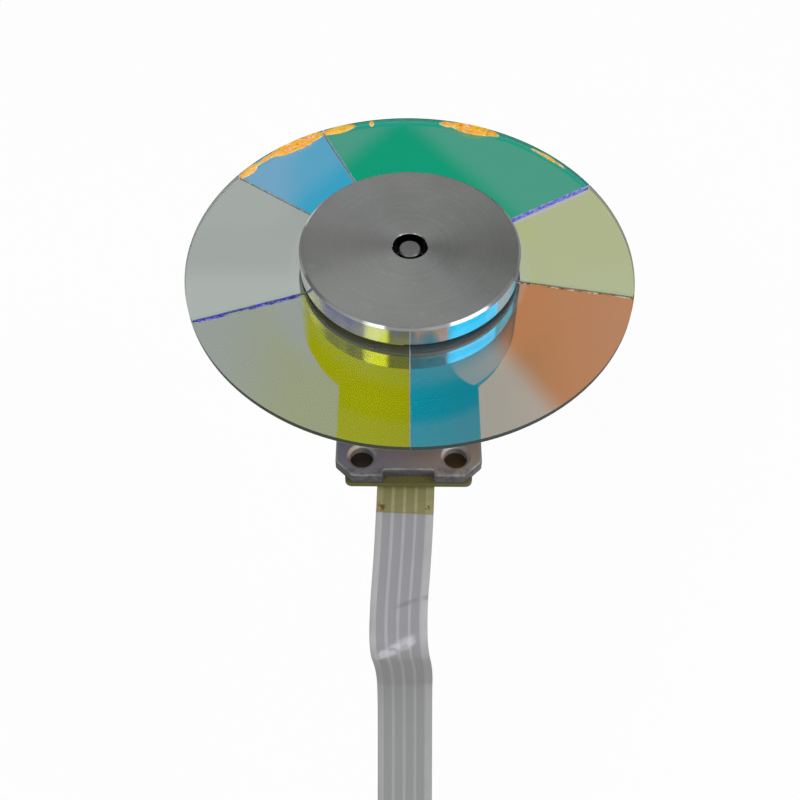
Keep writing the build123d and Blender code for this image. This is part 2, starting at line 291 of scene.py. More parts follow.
def turned_metal(name, tint, roughness, stretch, pitch, shaded_above=None):
    """Turned metal: fine rings round the wheel's axis, a few scratches and dull patches, and painted
    shade above a given height.
    """
    material, finish = new_finish(name)
    x, y, z = finish.place()
    radius = away(x, y)
    rings = finish.lines(radius + z, pitch)
    wide_rings = finish.lines(radius + z, pitch * 6)
    clouds = finish.noise(4.0, 3.0)
    scored = scratches(finish)
    shade = finish.blend(rings * 0.5 + clouds * 0.5, toned(tint, 0.86), tint)
    shade = finish.blend(flecks(finish, 0.12, 2.0, 0.74) * 0.5, shade, grey(0.12))
    shade = finish.blend(scored.least(1.0) * 0.45, shade, grey(0.9))
    # Painted shade: above the given height the metal is painted almost black
    if shaded_above:
        shade = finish.blend(z.above(shaded_above, shaded_above + 0.06) * 0.75, shade, grey(0.03))
    uneven = (rings - 0.5) * 0.12 + (clouds - 0.5) * 0.12 + (wide_rings - 0.5) * 0.08
    finish.show(
        finish.surface(
            Base_Color=shade,
            Metallic=1.0,
            Roughness=roughness + uneven,
            Anisotropic=stretch,
            Anisotropic_Rotation=0.25,
            Normal=finish.relief(rings + scored * 0.6, 0.004, 0.5),
        )
    )
    return material


def cap_aluminium():
    """The cap: a dull, finely faced top with a darker tint as painted shade, and a bright side that
    mirrors the filters below it.
    """
    material, finish = new_finish("turned cap")
    x, y, z = finish.place()
    radius = away(x, y)
    top = z.above(CAP_TOP - 0.03, CAP_TOP - 0.01)
    edge = z.below(CAP_TOP - 0.04, CAP_TOP - 0.02)
    side = z.below(CAP_TOP - 0.2, CAP_TOP - 0.18)
    below = z.below(CAP_RIM + 0.005, CAP_RIM + 0.02)
    rings = finish.lines(radius + z, 0.05)
    wide_rings = finish.lines(radius + z, 0.4)
    clouds = finish.noise(5.0, 3.0)
    scored = scratches(finish) * top
    # Lighter cloudy patches, and a painted sheen over the left of the top
    wipes_and_sheen = finish.noise(7.0, 3.0, seed=41.0).above(0.35, 0.65) * 0.1
    wipes_and_sheen = wipes_and_sheen + 0.07 * x.below(-6, 4) * y.above(-3, 3)
    grain = finish.noise(0.16, 2.0, seed=43.0)
    mottle = rings * 0.25 + grain * 0.25 + clouds * 0.2 + wide_rings * 0.3
    # Painted shade: the top face and the chamfer get darker tints than the side
    shade = finish.blend(mottle, (0.25, 0.26, 0.245, 1), (0.42, 0.43, 0.415, 1))
    shade = finish.blend(wipes_and_sheen, shade, grey(0.8))
    shade = finish.blend(edge, shade, grey(0.6))
    shade = finish.blend(side, shade, grey(0.93))
    # Painted shade: the wall of the cap's hole is painted almost black
    shade = finish.blend(radius.below(CAP_HOLE_R, CAP_HOLE_R + 0.01), shade, grey(0.1))
    shade = finish.blend(flecks(finish, 0.14, 2.0, 0.74) * 0.4 * top, shade, grey(0.12))
    shade = finish.blend(scored.least(1.0) * 0.1, shade, grey(0.9))
    finish.show(
        finish.surface(
            Base_Color=finish.blend(below, shade, (0.5, 0.5, 0.46, 1)),
            Metallic=1 - 0.9 * below,
            Roughness=0.09 + top * 0.23 + (rings - 0.5) * 0.05 + (clouds - 0.5) * 0.04,
            Anisotropic=0.8,
            Anisotropic_Rotation=0.25,
            Normal=finish.relief(rings + scored * 0.3, 0.003, 0.4),
        )
    )
    return material


def plain_metal(name, tint, roughness, grain=0.25, spots=0.35, worn=0.15):
    """Rolled, ground or plated metal: fine grain, cloudy patches, small dark spots."""
    material, finish = new_finish(name)
    clouds = finish.noise(2.2, 4.0, 0.4)
    grains = finish.noise(grain, 3.0)
    shade = finish.blend(clouds * 0.6 + grains * 0.4, toned(tint, 0.72), tint)
    shade = finish.blend(flecks(finish, 0.22, 4.0, 0.7) * spots, shade, grey(0.02))
    shade = finish.blend(hairs(finish, 1.4, 6.0) * worn, shade, grey(0.8))
    finish.show(
        finish.surface(
            Base_Color=shade,
            Metallic=1.0,
            Roughness=roughness + (clouds - 0.5) * 0.16 + (grains - 0.5) * 0.12,
            Normal=finish.relief(grains + clouds * 0.5, 0.006, 0.4),
        )
    )
    return material


def moulded(name, tint, roughness, grain=0.3, depth=0.004, spread=0.8):
    """Plastic, resin or glue: slight clouds in the colour and a fine skin."""
    material, finish = new_finish(name)
    clouds = finish.noise(1.5, 3.0)
    skin = finish.noise(grain, 3.0)
    finish.show(
        finish.surface(
            Base_Color=finish.blend(clouds * 0.6 + skin * 0.4, toned(tint, spread), tint),
            Roughness=roughness + (skin - 0.5) * 0.15,
            Normal=finish.relief(skin, depth, 0.4),
        )
    )
    return material


# Filters: the coating under each glass lets one colour through and throws the rest back


def coated(z):
    """1 on the glass's lower face, which carries the coating."""
    return z.below(GLASS_BOTTOM + 0.02, GLASS_BOTTOM + 0.04)


def joint_edge(finish, x, y, z, angle, width, patchy, seed):
    """A ragged strip on the coating along a joint, this many millimetres wide."""
    turn = math.radians(angle)
    across = abs(x * math.sin(turn) - y * math.cos(turn))
    ragged = finish.noise(0.5, 3.0, seed=seed)
    strip = (across - width * (0.5 + ragged)).below(-0.02, 0.02) * coated(z)
    ahead = (x * math.cos(turn) + y * math.sin(turn)).above(0.0, 0.1)
    patches = finish.noise(1.5, 3.0, seed=seed + 20).above(patchy - 0.06, patchy + 0.02)
    return strip * ahead * patches


def arc_taper(finish, x, y, start, end):
    """1 midway between two angles round the wheel, in degrees, and 0 at both and beyond."""
    middle, half = (start + end) / 2, (end - start) / 2
    turn = math.radians(middle)
    forward = x * math.cos(turn) + y * math.sin(turn)
    sideways = y * math.cos(turn) - x * math.sin(turn)
    turned = finish.node("ShaderNodeMath", {"operation": "ARCTAN2"}, {0: sideways, 1: forward})
    share = turned * (180 / math.pi / half)
    return (1 - share * share).most(0.0)


def bare_face(finish, radius, clear, thrown):
    """The top of the glass: clear, glossy at a low angle, with a thin film of glue round the cap."""
    facing = finish.node("ShaderNodeLayerWeight", {}, {"Blend": 0.5}, output="Facing")
    gloss = finish.shine(grey(1.0), GLASS_ROUGHNESS)
    glass = finish.mixed(0.005 + 0.6 * facing ** 5, clear, gloss)
    film = finish.matt(tuple(0.5 + 0.5 * part for part in thrown[:3]) + (1,))
    border = GLUE_FILM_R + 0.5 * (finish.noise(1.2, 2.0, seed=29.0) - 0.5)
    return finish.mixed((radius - border).below(-0.15, 0.15) * 0.06, glass, film)


def coated_face(finish, x, radius, passed, thrown, mirror, painted_shadow):
    """The coating: it lets one colour through, dimmed towards the wheel's front by a painted shadow, and
    throws one back.
    """
    through = finish.see_through(passed)
    # Painted shadow: towards the wheel's front the glass lets a dimmer colour through
    if painted_shadow:
        shadow_colour, full, gone = painted_shadow
        towards_front = x.below(full, gone) if gone > full else x.above(gone, full)
        through = finish.mixed(
            towards_front * radius.above(12, 15), through, finish.see_through(shadow_colour)
        )
    smear = finish.noise(5.0, 2.0, seed=1.0)
    return finish.mixed(
        mirror * (0.97 + 0.06 * smear), through, finish.shine(thrown, GLASS_ROUGHNESS)
    )


def cut_rim(finish, z, edge, front):
    """The ground rim of the glass, with a dark line along its edges."""
    line = z.above(GLASS_TOP - 0.12, GLASS_TOP - 0.07)
    if front:
        line = (line + z.below(GLASS_BOTTOM + 0.06, GLASS_BOTTOM + 0.12)).least(1.0)
    ground = finish.blend(finish.noise(0.3, 3.0), edge, toned(edge, 1.25))
    return finish.surface(
        Base_Color=finish.blend(line * 0.8, ground, colour(44, 52, 48)),
        Roughness=0.4 + 0.1 * finish.noise(0.2, 2.0),
        Normal=finish.relief(finish.noise(0.2, 3.0), 0.02),
    )


def chip_in_rim(finish, glass, x, y, z, number, chip):
    """The glass with one chip in its coating, whose broken shells glint like gold."""
    start, end, depth, pale = chip
    radius = away(x, y)
    taper = arc_taper(finish, x, y, start, end)
    bite = finish.noise(1.3, 2.0, seed=11.0 + number) - 0.5
    border = WHEEL_R - depth * (taper * 1.05 + bite * 0.7 * (taper ** 0.5))
    height = (taper ** 0.5) * (0.5 * depth + 0.2 + bite * 0.4)
    rise = (z - GLASS_BOTTOM - height).below(-0.02, 0.02)
    broken = (radius - border).above(-0.02, 0.02) * taper.above(0.0, 0.04) * rise
    shells = finish.noise(0.8, 2.0, 0.8, seed=13.0 + number)
    flaw = finish.noise(0.45, 3.0, 0.5, seed=19.0 + number)
    sparkle = (radius - border).below(0.06, 0.11) * finish.noise(0.5, 1.0, seed=17.0).above(0.45, 0.55)
    sparkle = (sparkle + hairs(finish, 0.7, 23.0 + number, 0.05)).least(1.0)
    gold = finish.blend(shells.above(0.4, 0.5), GOLD, DEEP_GOLD)
    gold = finish.blend(pale * shells.above(0.3, 0.6), gold, PALE_GOLD)
    gold = finish.blend(flaw.below(0.36, 0.42) * 0.8, gold, BURNT_GOLD)
    gold = finish.blend(sparkle, gold, GLINT)
    flake = finish.surface(Base_Color=gold, Roughness=0.4, Normal=finish.relief(shells, 0.05))
    amber = finish.see_through((1.0, 0.6, 0.1, 1))
    return finish.mixed(broken, glass, finish.mixed(0.45, flake, amber))


def filter_glass(name, passed, thrown, mirror, edge, joints, chips=(), front=False, painted_shadow=None):
    """Coated glass, with what shows along its joints and the chips on its rim."""
    material, finish = new_finish(name)
    x, y, z = finish.place()
    radius = away(x, y)
    clear = finish.see_through((0.97, 0.98, 0.975, 1))
    upper = bare_face(finish, radius, clear, thrown)
    lower = coated_face(finish, x, radius, passed, thrown, mirror, painted_shadow)
    wall = z.within(GLASS_BOTTOM + 0.02, GLASS_BOTTOM + 0.04, GLASS_TOP - 0.02, GLASS_TOP - 0.01)
    at_rim = radius.above(WHEEL_R - 0.06, WHEEL_R - 0.04)
    glass = finish.mixed(wall, finish.mixed(coated(z), upper, lower), clear)
    glass = finish.mixed(wall * at_rim, glass, cut_rim(finish, z, edge, front))
    for number, (angle, width, patchy, first, second) in enumerate(joints):
        strip = joint_edge(finish, x, y, z, angle, width, patchy, 2.0 + number)
        streaks = finish.noise(0.35, 3.0, seed=7.0 + number).above(0.4, 0.6)
        glue = finish.surface(Base_Color=finish.blend(streaks, first, second), Roughness=0.4)
        glass = finish.mixed(strip, glass, glue)
    for number, chip in enumerate(chips):
        glass = chip_in_rim(finish, glass, x, y, z, number, chip)
    finish.show(glass)
    return material


VIOLET, PALE_VIOLET = colour(120, 108, 240), colour(176, 172, 250)
INK, INK_EDGE = colour(44, 34, 140), colour(112, 112, 214)
BROWN, CREAM = colour(120, 70, 40), colour(206, 186, 160)
PALE, MIST = colour(168, 172, 172), colour(132, 158, 176)
OLIVE_GREY, BROWNISH, SAGE = colour(136, 138, 118), colour(146, 138, 126), colour(116, 136, 110)
GOLD, DEEP_GOLD = colour(252, 176, 84), colour(255, 208, 0)
PALE_GOLD, BURNT_GOLD, GLINT = colour(255, 190, 130), colour(150, 92, 38), colour(255, 250, 236)

# joints: angle, width, patchiness and two colours. chips: start and end angle, depth and paleness.
# painted shadow: its colour, the x up to which it is full, and the x at which it is gone
FILTERS = {
    "filter_red": dict(
        passed=(0.8, 0.25, 0.02, 1),
        thrown=(0.0, 0.69, 0.93, 1),
        mirror=0.4,
        edge=colour(46, 55, 50),
        joints=[(-89.8, 0.06, 0, PALE, MIST), (-10.3, 0.2, 0.5, BROWN, CREAM)],
        front=True,
        painted_shadow=((0.61, 0.22, 0.02, 1), 6, 14.5),
    ),
    "filter_yellow": dict(
        passed=(0.74, 0.79, 0.34, 1),
        thrown=(0.05, 0.1, 0.9, 1),
        mirror=0.4,
        edge=colour(185, 190, 152),
        joints=[(-10.3, 0.1, 0.55, BROWN, PALE), (31.3, 0.06, 0, VIOLET, PALE_VIOLET)],
    ),
    "filter_green": dict(
        passed=(0.0, 0.55, 0.3, 1),
        thrown=(0.95, 0.1, 0.75, 1),
        mirror=0.4,
        edge=colour(60, 185, 152),
        joints=[(31.3, 0.08, 0, VIOLET, PALE_VIOLET), (115.4, 0.06, 0, MIST, PALE)],
        chips=[
            (63.5, 79.5, 0.75, 0.0),
            (76.5, 81.5, 0.35, 1.0),
            (105.5, 116.5, 0.5, 0.3),
            (100.3, 101.7, 0.35, 1.0),
            (41, 53.5, 0.1, 0.0),
        ],
    ),
    "filter_cyan": dict(
        passed=(0.06, 0.6, 0.93, 1),
        thrown=(0.9, 0.18, 0.03, 1),
        mirror=0.4,
        edge=colour(118, 188, 216),
        joints=[(115.4, 0.08, 0, OLIVE_GREY, PALE), (144.8, 0.06, 0.45, BROWNISH, PALE)],
        chips=[(114.5, 134, 0.85, 0.3), (137, 145.5, 0.5, 1.0), (129, 141, 0.22, 0.8)],
    ),
    "filter_clear": dict(
        passed=(0.39, 0.42, 0.395, 1),
        thrown=(0.8, 0.85, 0.8, 1),
        mirror=0.08,
        edge=colour(176, 184, 176),
        joints=[(144.8, 0.06, 0.45, BROWNISH, PALE), (199.6, 0.06, 0, SAGE, PALE)],
    ),
    "filter_blue": dict(
        passed=(0.0, 0.01, 0.53, 1),
        painted_shadow=((0.0, 0.01, 0.36, 1), -9, -17),
        thrown=(0.82, 0.87, 0.0, 1),
        mirror=0.4,
        edge=colour(46, 55, 50),
        joints=[(199.6, 0.3, 0.47, INK, INK_EDGE), (270.2, 0.06, 0, PALE, MIST)],
        front=True,
    ),
}

# What fills the joints between the filters: angle, height and two colours
SEAMS = [
    (-89.9, 0.4, PALE, MIST),
    (-10.3, 0.12, SAGE, BROWNISH),
    (31.3, 0.46, VIOLET, PALE_VIOLET),
    (115.4, 0.3, MIST, PALE),
    (144.8, 0.14, BROWNISH, PALE),
    (199.6, 0.12, SAGE, INK_EDGE),
]
SEAM_START, SEAM_REACH, SEAM_STEPS = 8.2, 11.7, 60
SEAM_FOOT_HALF, SEAM_TOP_HALF = 0.033, 0.03

# Ribbon cable: a flat film with four conductors, along the route's own smooth curve
RIBBON_WIDTH = 5.0 * MM
RIBBON_THICKNESS = 0.15 * MM
RIBBON_HALF = RIBBON_THICKNESS / 2
SWELL = 0.016 * MM
CONDUCTORS = (-1.57 * MM, -0.56 * MM, 0.44 * MM, 1.42 * MM)
CONDUCTOR_HALF = 0.38 * MM
CREASE_SLANT = 0.2
SWEEP_STEP = 0.2 * MM
TAPE_WIDTH, TAPE_START, TAPE_PAST_BOARD = 4.96 * MM, 1.6 * MM, 1.95 * MM
STIFFENER_LENGTH, STIFFENER_DEPTH = 6 * MM, 0.165 * MM
CONTACTS = (-1.5, -0.5, 0.5, 1.5)
CONTACT_WIDTH, CONTACT_LENGTH, CONTACT_BACK = 0.6 * MM, 3.5 * MM, 0.1 * MM
RIBBON_ROUTE = [
    Vector(point) * MM
    for point in (
        (-0.1, 3.4, -1.635),
        (-0.22, -2.5, -1.635),
        (-0.5, -7.29, -5.48),
        (-0.8, -10.3, -8.0),
        (-0.8, -14.2, -8.5),
        (-0.25, -14.12, -12.43),
        (-0.15, -14.0, -18.2),
        (-0.1, -24.2, -25.9),
        (-0.1, -29.8, -34.8),
        (-0.1, -31.6, -45.2),
        (-0.1, -31.6, -57.0),
    )
]


def route_line(route):
    """The points of the smooth curve that the route's points steer."""
    curve = bpy.data.curves.new("route", "CURVE")
    curve.dimensions = "3D"
    spline = curve.splines.new("NURBS")
    spline.points.add(len(route) - 1)
    for point, place in zip(spline.points, route):
        point.co = (*place, 1)
    spline.order_u = 3
    spline.use_endpoint_u = True
    spline.resolution_u = 40
    holder = bpy.data.objects.new("route", curve)
    bpy.context.scene.collection.objects.link(holder)
    line = bpy.data.meshes.new_from_object(holder)
    points = np.array([v.co for v in line.vertices])
    bpy.data.objects.remove(holder)
    bpy.data.meshes.remove(line)
    return points


ribbon_line = route_line(RIBBON_ROUTE)
ribbon_run = np.concatenate([[0], np.cumsum(np.linalg.norm(np.diff(ribbon_line, axis=0), axis=1))])
RIBBON_LENGTH = float(ribbon_run[-1])
BOARD_EDGE_RUN = float(np.interp(-BOARD_FRONT, -ribbon_line[:, 1], ribbon_run))
CREASE_RUNS = tuple(
    float(ribbon_run[np.argmin(np.linalg.norm(ribbon_line - np.array(corner), axis=1))])
    for corner in (RIBBON_ROUTE[3], RIBBON_ROUTE[4])
)


def ribbon_frame(run):
    """The place, the sideways and the outward direction on the ribbon's middle line at this length."""
    def at(length):
        return Vector([float(np.interp(length, ribbon_run, ribbon_line[:, axis])) for axis in range(3)])
    step = 0.1 * MM
    ahead = (at(min(run + step, RIBBON_LENGTH)) - at(max(run - step, 0))).normalized()
    side = (Vector((1, 0, 0)) - ahead * ahead.x).normalized()
    return at(run), side, ahead.cross(side)


def slanted(run, across):
    """The creases run at a slant, so the ribbon's left edge turns a little later than its right."""
    near = math.exp(-((run - sum(CREASE_RUNS) / 2) / (5 * MM)) ** 4)
    return min(max(run - CREASE_SLANT * near * across, 0), RIBBON_LENGTH)


def new_piece(name, vertices, faces, material, smooth=True):
    mesh = bpy.data.meshes.new(name)
    mesh.from_pydata(vertices, [], faces)
    mesh.materials.append(material)
    if smooth:
        mesh.shade_smooth()
    piece = bpy.data.objects.new(name, mesh)
    bpy.context.scene.collection.objects.link(piece)
    return piece


def tube_faces(count, size):
    """The faces of a closed tube with this many steps along it and points round it."""
    faces = [
        (
            i * size + j,
            i * size + (j + 1) % size,
            (i + 1) * size + (j + 1) % size,
            (i + 1) * size + j,
        )
        for i in range(count)
        for j in range(size)
    ]
    ends = [tuple(range(size))[::-1], tuple(count * size + j for j in range(size))]
    return faces + ends


def swept(name, outline, start, end, material, smooth=False):
    """A closed strip along the ribbon. outline goes round its section as (across, outward) points."""
    count = max(2, round((end - start) / SWEEP_STEP))
    vertices, places = [], []
    for run in [start + (end - start) * i / count for i in range(count + 1)]:
        for across, outward in outline:
            where, side, out = ribbon_frame(slanted(run, across))
            vertices.append(where + side * across + out * outward)
            places.append((across / RIBBON_WIDTH + 0.5, run / RIBBON_LENGTH))
    piece = new_piece(name, vertices, tube_faces(count, len(outline)), material, smooth)
    layer = piece.data.uv_layers.new(name="lay")
    for loop in piece.data.loops:
        layer.data[loop.index].uv = places[loop.vertex_index]
    return piece


def film_outline():
    """The ribbon's section: a flat film that swells a little over each conductor."""
    half, edge, rim = RIBBON_HALF, RIBBON_WIDTH / 2, 0.03 * MM
    front = [(-edge, half - rim), (-edge + rim, half)]
    for middle in CONDUCTORS:
        for share, rise in ((-1, 0), (-0.8, 0.8), (-0.5, 1), (0.5, 1), (0.8, 0.8), (1, 0)):
            front.append((middle + share * CONDUCTOR_HALF, half + rise * SWELL))
    front += [(edge - rim, half), (edge, half - rim)]
    rear = [(across, -outward) for across, outward in reversed(front)]
    return front + rear


def strip_outline(width, inner, outer, middle=0.0):
    left, right = middle - width / 2, middle + width / 2
    return [(left, inner), (left, outer), (right, outer), (right, inner)]


def film_shade(finish, margin, stripe, between):
    """The film's colour across the ribbon: grey over the conductors, paler between and beside them."""
    u, v, _ = finish.parts(finish.node("ShaderNodeUVMap", {"uv_map": "lay"}))
    across = (u - 0.5) * (RIBBON_WIDTH / MM)
    along = v * (RIBBON_LENGTH / MM)
    shade = finish.blend(abs(across).above(1.9, 2.0), between, margin)
    half = CONDUCTOR_HALF / MM
    for middle in CONDUCTORS:
        over = abs(across - middle / MM).below(half - 0.05, half + 0.03)
        shade = finish.blend(over, shade, stripe)
    return shade, across, along


def ribbon_film():
    """The pale film, with two slanted creases, a painted highlight along the second and painted shade in
    the first, and a few specks.
    """
    material, finish = new_finish("ribbon film")
    shade, across, along = film_shade(
        finish, colour(165, 165, 163), colour(139, 139, 141), colour(160, 160, 161)
    )
    clouds = finish.noise(3.0, 3.0)
    shade = finish.blend(clouds.above(0.4, 0.75) * 0.18, shade, colour(128, 128, 134))
    first, second = (run / MM for run in CREASE_RUNS)
    lean = along + CREASE_SLANT * across
    lower = along.above(second - 0.5, second + 3)
    shade = finish.blend(lower * 0.3, shade, colour(126, 128, 116))
    # Painted highlight along the second crease
    crease_highlight = abs(lean - second).below(0.2, 0.8) * finish.noise(0.9, 1.0, seed=4.0).above(0.32, 0.6)
    crease_highlight = crease_highlight * across.within(-2.3, -1.7, 1.0, 1.7)
    shade = finish.blend(crease_highlight * 0.7, shade, colour(196, 196, 202))
    # Painted shade in the first crease
    crease_shade = abs(lean - first).below(0.05, 0.35) * finish.noise(1.4, 2.0, seed=9.0).above(0.35, 0.6)
    shade = finish.blend(crease_shade * across.above(-0.8, 0.6) * 0.45, shade, colour(96, 96, 102))
    shade = finish.blend(flecks(finish, 0.3, 6.0, 0.76) * 0.5, shade, colour(90, 90, 98))
    finish.show(
        finish.surface(
            Base_Color=shade,
            Roughness=0.36 + 0.12 * finish.noise(0.8, 3.0),
            Coat_Weight=0.15 + 0.1 * clouds,
            Coat_Roughness=0.25,
            Normal=finish.relief(finish.noise(0.5, 3.0), 0.01, 0.35),
        )
    )
    return material


def tape_film():
    """The olive tape, through which the stripes below it show faintly, with specks of burnt glue."""
    material, finish = new_finish("olive tape")
    shade, across, along = film_shade(
        finish, colour(148, 144, 98), colour(127, 124, 80), colour(154, 151, 110)
    )
    edge = BOARD_EDGE_RUN / MM
    ripples = finish.lines(along + 0.3 * across, 0.5)
    shade = finish.blend(ripples * 0.4, shade, colour(116, 112, 68))
    left = abs(across + 2.0).below(0.25, 0.45) * abs(along - edge - 1.4).below(0.25, 0.5)
    right = abs(across - 1.95).below(0.08, 0.3) * abs(along - edge - 1.35).below(0.08, 0.3)
    ragged = finish.noise(0.3, 3.0, seed=3.0).above(0.42, 0.56)
    shade = finish.blend(((left + right) * ragged).least(1.0), shade, colour(92, 64, 24))
    end = along.above(edge + 1.65, edge + 1.9) * ragged
    shade = finish.blend(end * 0.5, shade, colour(128, 110, 62))
    finish.show(
        finish.surface(
            Base_Color=shade,
            Roughness=0.42 + 0.15 * finish.noise(0.7, 3.0),
            Normal=finish.relief(ripples + finish.noise(0.6, 3.0), 0.012, 0.5),
        )
    )
    return material


def lay_ribbon():
    """The ribbon, its tape, and the stiffener and contacts at its far end."""
    ribbon = swept("ribbon", film_outline(), 0, RIBBON_LENGTH, ribbon_film(), smooth=True)
    tape_outline = strip_outline(TAPE_WIDTH, RIBBON_HALF + 0.02 * MM, RIBBON_HALF + 0.06 * MM)
    tape_end = BOARD_EDGE_RUN + TAPE_PAST_BOARD
    tape = swept("ribbon_tape", tape_outline, TAPE_START, tape_end, tape_film())
    stiffener = swept(
        "ribbon_stiffener",
        strip_outline(RIBBON_WIDTH, -RIBBON_HALF - STIFFENER_DEPTH, -RIBBON_HALF - SWELL),
        RIBBON_LENGTH - STIFFENER_LENGTH,
        RIBBON_LENGTH,
        moulded("stiffener film", colour(58, 92, 150), 0.4),
    )
    tin = plain_metal("tinned contact", colour(206, 204, 198), 0.3, 0.2, 0.15)
    contacts = [
        swept(
            f"ribbon_contact_{number + 1}",
            strip_outline(CONTACT_WIDTH, RIBBON_HALF + SWELL, RIBBON_HALF + 0.05 * MM, middle * MM),
            RIBBON_LENGTH - CONTACT_LENGTH,
            RIBBON_LENGTH - CONTACT_BACK,
            tin,
        )
        for number, middle in enumerate(CONTACTS)
    ]
    for piece in (ribbon, tape, stiffener, *contacts):
        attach(piece, "motor_base")
    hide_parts("ribbon_cable")
    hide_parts("insulating_tape")
    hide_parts("cable_stiffener")
    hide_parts("cable_contacts")


lay_ribbon()


def seam_glue(number, first, second):
    """Dried glue in a joint, streaked with two colours."""
    material, finish = new_finish(f"joint glue {number + 1}")
    streaks = finish.noise(0.4, 3.0, seed=31.0 + number).above(0.4, 0.6)
    finish.show(
        finish.surface(
            Base_Color=finish.blend(streaks, first, second),
            Roughness=0.35 + 0.2 * streaks,
            Normal=finish.relief(finish.noise(0.3, 3.0), 0.01, 0.4),
        )
    )
    return material


def fill_joints():
    """A thin, slightly wavy line of glue in each gap between two filters."""
    for number, (angle, height, first, second) in enumerate(SEAMS):
        turn = math.radians(angle)
        out = Vector((math.cos(turn), math.sin(turn), 0))
        over = Vector((-math.sin(turn), math.cos(turn), 0))
        vertices = []
        for step in range(SEAM_STEPS + 1):
            radius = SEAM_START + SEAM_REACH * step / SEAM_STEPS
            wave = 0.006 * math.sin(2.1 * radius + number) + 0.004 * math.sin(5.3 * radius)
            foot, top = GLASS_BOTTOM + 0.01, GLASS_BOTTOM + height + 2.0 * wave
            for side, rise in (
                (-SEAM_FOOT_HALF, foot),
                (SEAM_FOOT_HALF, foot),
                (SEAM_TOP_HALF, top),
                (-SEAM_TOP_HALF, top),
            ):
                vertices.append((Vector((0, AXIS_Y / MM, rise)) + out * radius + over * side) * MM)
        seam = new_piece(
            f"joint_seam_{number + 1}",
            vertices,
            tube_faces(SEAM_STEPS, 4),
            seam_glue(number, first, second),
            smooth=False,
        )
        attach(seam, "wheel")


fill_joints()


# Bracket, board and the motor's inner pieces


def bracket_steel():
    """Plated steel with a burred, dirty front edge and a few dark spots."""
    material, finish = new_finish("bracket steel")
    x, y, z = finish.place()
    front = y + AXIS_Y / MM
    clouds = finish.noise(1.8, 4.0, 0.5)
    grains = finish.noise(0.2, 3.0)
    shade = finish.blend(
        clouds * 0.7 + grains * 0.3, (0.31, 0.31, 0.29, 1), (0.42, 0.42, 0.4, 1)
    )
    # Painted shadow: the top face is painted almost black in a ring round the rotor's foot
    rotor_shadow = away(x, y).within(9.62, 9.8, 11.2, 12.8) * z.above(-0.06, -0.03)
    shade = finish.blend(rotor_shadow * 0.96, shade, grey(0.01))
    grime = front.below(-1.5, -0.9) * finish.noise(0.6, 4.0, seed=5.0).above(0.42, 0.6)
    shade = finish.blend(grime * 0.5, shade, (0.12, 0.12, 0.14, 1))
    spots = flecks(finish, 0.3, 9.0, 0.73)
    shade = finish.blend(spots * 0.8, shade, (0.05, 0.045, 0.05, 1))
    across = x + SCREW_X - 2 * SCREW_X * x.above(-0.01, 0.01)
    countersink = away(across, front).below(COUNTERSINK_R - 0.05, COUNTERSINK_R + 0.05)
    # Painted shade: the faces below the top face are painted darker
    shaded_sides = z.below(-0.12, -0.05) * (1 - countersink)
    shade = finish.blend(shaded_sides * 0.7, shade, (0.06, 0.06, 0.07, 1))
    # Painted highlight: a pale glint on one side of each countersink
    countersink_glint = countersink * z.below(-0.04, -0.02) * (front - across).above(0.6, 1.6)
    shade = finish.blend(countersink_glint * 0.9, shade, (0.85, 0.82, 0.74, 1))
    burr = front.below(-1.7, -1.3) * finish.noise(0.35, 4.0, seed=7.0)
    finish.show(
        finish.surface(
            Base_Color=shade,
            Metallic=0.55,
            Roughness=0.5 + (clouds - 0.5) * 0.2 + grime * 0.15,
            Normal=finish.relief(grains * 0.4 + clouds * 0.4 + burr * 2, 0.02, 0.4),
        )
    )
    return material


def board_resin():
    """Olive circuit board: a woven top, layered, darker cut edges and painted shade in the screw holes.
    """
    material, finish = new_finish("board resin")
    x, y, z = finish.place()
    layers = finish.lines(z, 0.07)
    weave = ((x * 42).sine() * (y * 42).sine()).above(-0.4, 0.4)
    mottle = weave * 0.15 + finish.noise(0.8, 3.0) * 0.6
    shade = finish.blend(mottle, colour(82, 79, 40), colour(116, 112, 62))
    shade = finish.blend(layers.above(0.5, 0.7) * 0.5, shade, colour(70, 64, 26))
    # Painted shade: each screw hole is painted almost black, less so towards its front
    across, along = abs(x) - SCREW_X, y + AXIS_Y / MM
    hole_shade = away(across, along).below(1.2, 1.5)
    depth = 0.6 + 0.35 * along.above(-0.7, 0.3)
    shade = finish.blend(hole_shade * depth, shade, colour(30, 22, 10))
    shade = finish.blend(flecks(finish, 0.25, 3.0, 0.7) * 0.6, shade, colour(60, 40, 16))
    finish.show(
        finish.surface(
            Base_Color=shade,
            Roughness=0.45 + 0.15 * finish.noise(0.5, 3.0),
            Normal=finish.relief(layers + weave * 0.3, 0.012, 0.5),
        )
    )
    return material


def wound_copper():
    """Enamelled wire: close turns side by side along each tooth."""
    material, finish = new_finish("enamelled copper")
    x, y, _ = finish.place()
    wire_pitch = 0.13
    turns = (away(x, y) * (2 * math.pi / wire_pitch)).sine()
    # Painted shade and highlight: each turn is dark in its grooves and bright on its crest
    shade = finish.blend(turns.above(-0.8, 0.9), (0.22, 0.05, 0.015, 1), (0.75, 0.3, 0.12, 1))
    finish.show(
        finish.surface(
            Base_Color=finish.blend(finish.noise(0.4, 3.0) * 0.4, shade, (0.6, 0.18, 0.05, 1)),
            Metallic=0.85,
            Roughness=0.28 + 0.1 * finish.noise(0.5, 2.0),
            Coat_Weight=0.5,
            Normal=finish.relief(turns * 0.5 + 0.5, 0.05),
        )
    )
    return material


def dress(nodes, material):
    """Gives CAD nodes a finish."""
    for name in nodes:
        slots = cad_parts[name].material_slots
        if not slots:
            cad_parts[name].data.materials.append(material)
        for slot in slots:
            slot.material = material


